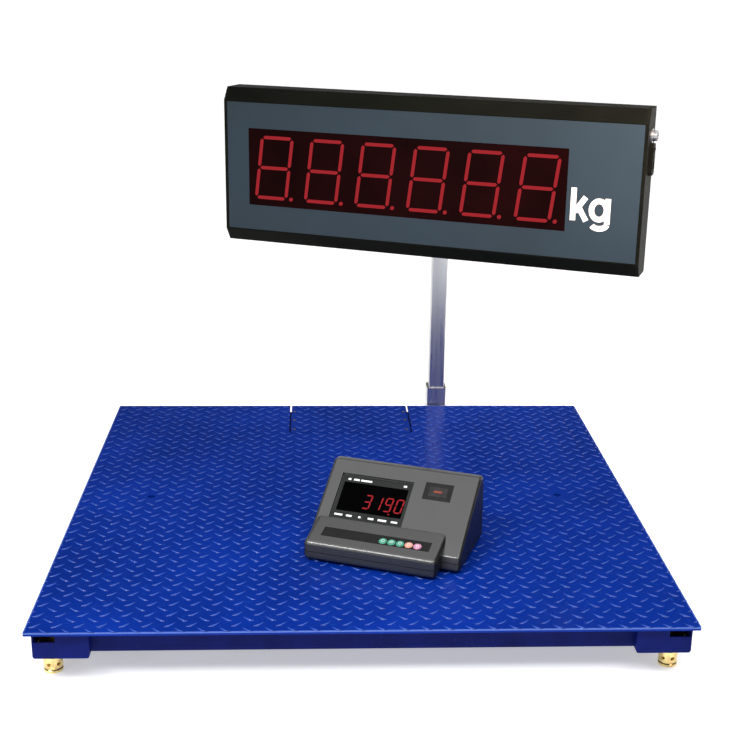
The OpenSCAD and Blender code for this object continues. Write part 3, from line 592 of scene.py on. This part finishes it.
def ribbon(verts, faces, points, half, depth):
    """Adds a raised line of even width through the given points, in the local X, Z plane."""
    count = len(points)
    sides = []
    for k, point in enumerate(points):
        before = (point - points[k - 1]).normalized() if k else None
        after = (points[k + 1] - point).normalized() if k < count - 1 else None
        along = ((before or after) + (after or before)).normalized()
        across = Vector((-along.y, along.x))
        reach = half / max(0.5, across.dot(Vector((-(after or before).y, (after or before).x))))
        sides.append((point + across * reach, point - across * reach))
    first = len(verts)
    for left, right in sides:
        verts += [(left.x, 0, left.y), (right.x, 0, right.y)]
        verts += [(right.x, -depth, right.y), (left.x, -depth, left.y)]
    for k in range(count - 1):
        a, b = first + 4 * k, first + 4 * (k + 1)
        faces += [(a + n, a + (n + 1) % 4, b + (n + 1) % 4, b + n) for n in range(4)]
    last = first + 4 * (count - 1)
    faces += [(first, first + 1, first + 2, first + 3), (last + 3, last + 2, last + 1, last)]


def unit_mark():
    """The letters k and g in a plain bold face, standing on the local X axis."""
    size = UNIT_HEIGHT
    middle = 0.36
    bowl = Vector((0.88, middle))
    tail = Vector((0.90, -0.05))

    def arc(centre, width, height, angles):
        return [centre + Vector((width * math.cos(a), height * math.sin(a))) for a in angles]

    ring = arc(bowl, 0.23, 0.28, [math.tau * k / 32 for k in range(33)])
    hook = arc(tail, 0.24, 0.15, [math.radians(-8 - 145 * k / 12) for k in range(13)])
    strokes = [
        [Vector((0.085, 0)), Vector((0.085, 1))],
        [Vector((0.14, 0.27)), Vector((0.46, 0.73))],
        [Vector((0.24, 0.44)), Vector((0.50, 0.0))],
        ring,
        [Vector((1.14, 0.73)), Vector((1.14, -0.06))],
        hook,
    ]
    verts, faces = [], []
    for k, stroke in enumerate(strokes):
        ribbon(verts, faces, [point * size for point in stroke], 0.085 * size, 0.0003 + 0.00004 * k)
    return closed(mesh_of("unit_mark", verts, faces))


LOUVRE_COUNT = 7
LOUVRE_PITCH = 0.018
LOUVRE_OUT = 0.30
SCREW_IN = 0.016
SCREW_X = (-0.45, -0.15, 0.15, 0.45)
SCREW_RADIUS = 0.0045


def dress_back():
    """Louvres and screws on the back of the read-out's case."""
    turn = read_frame()
    low, high = local_box("display_frame", turn)
    outward = Matrix.Rotation(math.radians(-90), 4, "X")
    black = finish("case_black", **SLOT_FINISH["case_black"])
    steel = finish("bright_steel", **SLOT_FINISH["bright_steel"])
    for side, name in ((-1, "left"), (1, "right")):
        for k in range(LOUVRE_COUNT):
            z = (k - (LOUVRE_COUNT - 1) / 2) * LOUVRE_PITCH
            hood = slab(0.12, 0.007, 0.0028, 0.0013)
            add_object(f"louvre_{name}_{k + 1}", hood, "display", material=black,
                       turn=turn @ Matrix.Translation((side * LOUVRE_OUT, high.y, z)) @ outward)
    places = [(x, z) for z in (low.z + SCREW_IN, high.z - SCREW_IN) for x in SCREW_X]
    for n, (x, z) in enumerate(places):
        build = bmesh.new()
        bmesh.ops.create_uvsphere(build, u_segments=24, v_segments=12, radius=SCREW_RADIUS)
        bmesh.ops.bisect_plane(build, geom=build.verts[:] + build.edges[:] + build.faces[:],
                               plane_co=(0, 0, 0.0012), plane_no=(0, 0, -1), clear_outer=True)
        bmesh.ops.holes_fill(build, edges=[e for e in build.edges if e.is_boundary])
        bmesh.ops.scale(build, vec=(1, 1, 0.55), verts=build.verts[:])
        bmesh.ops.translate(build, vec=(0, 0, -0.0006), verts=build.verts[:])
        head = bpy.data.meshes.new("screw")
        build.to_mesh(head)
        build.free()
        soften(head)
        add_object(f"case_screw_{n + 1}", head, "display", material=steel,
                   turn=turn @ Matrix.Translation((x, high.y, z)) @ outward)


# ---------------------------------------------------------------- indicator
def indicator_frame():
    right = -Vector(joints["power_switch_rock"]["axis"])
    back = UP.cross(right)
    low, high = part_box("indicator_feet")
    middle = (low + high) / 2
    feet_depth = 0.111
    origin = Vector((middle.x, middle.y, deck_high.z)) - back * feet_depth
    return basis(origin, right, back)


def hull_of(points, width, radius, name, middle=0.0):
    """A convex body with every edge rounded: the hull of balls at the corners of an extruded outline."""
    build = bmesh.new()
    for y, z in points:
        for side in (-1, 1):
            ball = bmesh.ops.create_uvsphere(build, u_segments=28, v_segments=14, radius=radius)
            shift = Vector((middle + side * (width / 2 - radius), y, z))
            bmesh.ops.translate(build, verts=ball["verts"], vec=shift)
    hull = bmesh.ops.convex_hull(build, input=build.verts[:])
    loose = [g for g in hull["geom_interior"] + hull["geom_unused"] if isinstance(g, bmesh.types.BMVert)]
    bmesh.ops.delete(build, geom=list(set(loose)), context="VERTS")
    bmesh.ops.dissolve_limit(build, angle_limit=math.radians(0.6), verts=build.verts[:], edges=build.edges[:])
    mesh = bpy.data.meshes.new(name)
    build.to_mesh(mesh)
    build.free()
    return mesh


def temporary(mesh):
    piece = bpy.data.objects.new("temporary", mesh)
    scene.collection.objects.link(piece)
    return piece


def combine(mesh, other, operation):
    """One mesh joined with, or cut by, another."""
    first, second = temporary(mesh), temporary(other)
    change = first.modifiers.new("change", "BOOLEAN")
    change.operation, change.object, change.solver = operation, second, "EXACT"
    bpy.context.view_layer.update()
    result = bpy.data.meshes.new_from_object(first.evaluated_get(bpy.context.evaluated_depsgraph_get()))
    bpy.data.objects.remove(first)
    bpy.data.objects.remove(second)
    return result


MAIN = [(0.051, 0.012), (0.053, 0.030), (0.082, 0.053), (0.197, 0.136), (0.212, 0.134), (0.218, 0.118),
        (0.220, 0.012)]
LEDGE = [(0.010, 0.013), (0.010, 0.035), (0.082, 0.0545), (0.082, 0.013)]
MAIN_R, LEDGE_R = 0.008, 0.009
SHELL_W, LEDGE_W, LEDGE_X = 0.312, 0.270, -0.015
SEAM, SEAM_GAP = 0.022, 0.0012
BADGE_LOW, BADGE_HIGH = Vector((0.049, 0.078)), Vector((0.107, 0.118))
FIGURE_PITCH = 0.0222
FIGURE_WIDTH = 0.0130
FIGURE_HEIGHT = 0.0305
FIGURE_STROKE = 0.0027
MARK_WIDTH = 0.0042
RING_SIDES = 24
RING_OUTER, RING_INNER, RING_HEIGHT = 0.0034, 0.0026, 0.0003


def slope_frame(points, first, second, radius):
    """The frame on a sloping outer surface: +Y up the slope, +Z out of it."""
    a, b = Vector((0, *points[first])), Vector((0, *points[second]))
    along = (b - a).normalized()
    out = Vector((1, 0, 0)).cross(along)
    return basis(a + out * radius, Vector((1, 0, 0)), along)


def box_mesh(low, high):
    build = bmesh.new()
    bmesh.ops.create_cube(build, size=1)
    low, high = Vector(low), Vector(high)
    for vert in build.verts:
        vert.co = Vector([(low[i] + high[i]) / 2 + vert.co[i] * (high[i] - low[i]) for i in range(3)])
    mesh = bpy.data.meshes.new("box")
    build.to_mesh(mesh)
    build.free()
    return mesh


def part_of(mesh, plane_z, keep_above):
    build = bmesh.new()
    build.from_mesh(mesh)
    normal = Vector((0, 0, -1 if keep_above else 1))
    cut = bmesh.ops.bisect_plane(build, geom=build.verts[:] + build.edges[:] + build.faces[:],
                                 plane_co=Vector((0, 0, plane_z)), plane_no=normal, clear_outer=True)
    edges = [g for g in cut["geom_cut"] if isinstance(g, bmesh.types.BMEdge)]
    bmesh.ops.holes_fill(build, edges=edges)
    bmesh.ops.recalc_face_normals(build, faces=build.faces[:])
    result = bpy.data.meshes.new("part")
    build.to_mesh(result)
    build.free()
    return result


def dress_indicator():
    turn = indicator_frame()
    face = slope_frame(MAIN, 2, 3, MAIN_R)
    ledge = slope_frame(LEDGE, 1, 2, LEDGE_R)
    well_low, well_high = local_box("indicator_window", turn @ face)
    strip_low, strip_high = local_box("keypad_overlay", turn @ ledge)
    housing = hull_of(MAIN, SHELL_W, MAIN_R, "main")
    shell = combine(housing, hull_of(LEDGE, LEDGE_W, LEDGE_R, "ledge", LEDGE_X), "UNION")
    well = box_mesh((well_low.x - 0.002, well_low.y - 0.002, -0.005),
                    (well_high.x + 0.002, well_high.y + 0.002, 0.03))
    badge = box_mesh((*BADGE_LOW, -0.0012), (*BADGE_HIGH, 0.03))
    strip = box_mesh((strip_low.x - 0.0005, strip_low.y - 0.0005, -0.001),
                     (strip_high.x + 0.0005, strip_high.y + 0.0005, 0.02))
    for cutter, place in ((well, face), (badge, face), (strip, ledge)):
        cutter.transform(place)
        shell = combine(shell, cutter, "DIFFERENCE")
    grey = finish("shell_grey", **SLOT_FINISH["shell_grey"])
    # painted shade: faces turned to either side or to the back take a near-black copy of the shell's grey
    side = finish("shell_side_painted_shade", (0.008, 0.008, 0.008), rough=0.36, spread=0.2, grain=25, fine=2600,
                  bump=0.4, shine=0.25)
    for name, height, above, cad in (
        ("indicator_upper_shell", SEAM + SEAM_GAP / 2, True, "indicator_upper"),
        ("indicator_lower_shell", SEAM - SEAM_GAP / 2, False, "indicator_lower"),
    ):
        mesh = part_of(shell, height, above)
        mesh.materials.append(grey)
        mesh.materials.append(side)
        for polygon in mesh.polygons:
            painted_shade_flank = abs(polygon.normal.x) > 0.62 or polygon.normal.y > 0.6
            polygon.material_index = 1 if painted_shade_flank else 0
        soften(mesh, 32)
        piece = add_object(name, mesh, "indicator", turn=turn)
        weights = piece.modifiers.new("weights", "WEIGHTED_NORMAL")
        weights.keep_sharp = True
        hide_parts(cad)
    # badge plate, left blank
    plate_size = BADGE_HIGH - BADGE_LOW - Vector((0.001, 0.001))
    plate = slab(plate_size.x, plate_size.y, 0.001, 0.0003)
    centre = (BADGE_LOW + BADGE_HIGH) / 2
    spot = turn @ face @ Matrix.Translation((centre.x, centre.y, -0.0011))
    add_object("badge_plate", plate, "indicator",
               material=finish("badge_black", (0.008, 0.008, 0.008), rough=0.3, spread=0.3, grain=60),
               turn=spot)
    label = slab(plate_size.x * 0.66, plate_size.y * 0.56, 0.0004, 0.0001)
    add_object("badge_label", label, "indicator",
               material=finish("label_dark", (0.022, 0.020, 0.020), rough=0.35, spread=0.3, grain=90),
               turn=spot @ Matrix.Translation((0, 0, 0.0009)))
    stripe = slab(plate_size.x * 0.30, 0.0042, 0.0003, 0.0001)
    add_object("badge_stripe", stripe, "indicator",
               material=finish("stripe_rust", (0.22, 0.045, 0.025), rough=0.5, spread=0.3, grain=200),
               turn=spot @ Matrix.Translation((0, 0, 0.0012)))
    # black window in the middle of the insert
    width, length = well_high.x - well_low.x, well_high.y - well_low.y
    pane = slab(width - 0.012, length * 0.66, 0.0006, 0.0002)
    middle = Vector(((well_low.x + well_high.x) / 2, well_low.y + length * 0.515, well_high.z))
    add_object("display_pane", pane, "indicator",
               material=finish("pane_black", (0.0010, 0.0010, 0.0012), rough=0.25, spread=0.3, grain=20,
                               bump=0.02, rough_spread=0.04, shine=0.0),
               turn=turn @ face @ Matrix.Translation(middle))
    # lit figures, right-aligned
    verts, faces = [], []
    stand = Matrix.Rotation(math.radians(-90), 4, "X")
    for k, sign in enumerate("3190"):
        centre = (well_high.x - 0.0155 + (k - 3) * FIGURE_PITCH, well_low.y + length * 0.445)
        figure(verts, faces, sign, centre, FIGURE_WIDTH, FIGURE_HEIGHT, FIGURE_STROKE, 0.0006,
               math.radians(5), 0.0003, dot=sign == "9", dot_out=0.3, dot_drop=2.2)
    digits = closed(mesh_of("indicator_figures", verts, faces))
    raised = turn @ face @ Matrix.Translation((0, 0, well_high.z + 0.0007)) @ stand
    add_object("indicator_figures", digits, "indicator",
               material=lit("led_small", 0.42), turn=raised)
    print_marks(turn @ face, well_low, well_high)
    print_keys()


def print_marks(place, low, high):
    """Plain dashes and dots where a maker prints its small words."""
    white = finish("print_pale", (0.75, 0.75, 0.75), rough=0.5, spread=0.1, grain=90)
    width, length = high.x - low.x, high.y - low.y
    upper, lower = low.y + length * 0.915, low.y + length * 0.085
    dashes = [(0.10, upper, 0.006), (0.20, upper, 0.012), (0.31, upper, 0.014), (0.39, upper, 0.010),
              (0.90, upper, 0.007)]
    dashes += [(0.10, lower, 0.017), (0.25, lower, 0.012), (0.40, lower, 0.005), (0.56, lower, 0.012),
               (0.72, lower, 0.018), (0.89, lower, 0.013)]
    for n, (share, y, size) in enumerate(dashes):
        mark = slab(size, MARK_WIDTH, 0.0003, 0.0001, 1)
        spot = place @ Matrix.Translation((low.x + share * width, y, high.z + 0.0001))
        add_object(f"mark_{n + 1}", mark, "indicator", material=white, turn=spot)


def print_keys():
    """A small pale ring on each key cap."""
    pale = finish("key_print", (0.75, 0.80, 0.78), rough=0.45, spread=0.1, grain=90)
    for k in range(1, 6):
        press = -Vector(joints[f"key_{k}_press"]["axis"])
        points = [v.co for v in nodes[f"key_{k}"].data.vertices]
        top = max(p.dot(press) for p in points)
        crown = [p for p in points if p.dot(press) > top - 0.00005]
        centre = sum(crown, Vector()) / len(crown)
        build = bmesh.new()
        rings = []
        angles = [math.tau * i / RING_SIDES for i in range(RING_SIDES)]
        for r, z in ((RING_OUTER, 0), (RING_OUTER, RING_HEIGHT), (RING_INNER, RING_HEIGHT), (RING_INNER, 0)):
            rings.append([build.verts.new((r * math.cos(a), r * math.sin(a), z)) for a in angles])
        for ring, following in zip(rings, rings[1:] + rings[:1]):
            for i in range(RING_SIDES):
                j = (i + 1) % RING_SIDES
                build.faces.new((ring[i], ring[j], following[j], following[i]))
        bmesh.ops.recalc_face_normals(build, faces=build.faces[:])
        mesh = bpy.data.meshes.new("key_ring")
        build.to_mesh(mesh)
        build.free()
        side = press.cross(UP).normalized()
        spot = basis(centre + press * 0.0001, side, press.cross(side))
        add_object(f"key_ring_{k}", mesh, f"key_{k}", material=pale, turn=spot)


aim_camera()
light_studio()
lay_floor()
paint_nodes()
lay_tread()
dress_read_out()
dress_back()
dress_indicator()
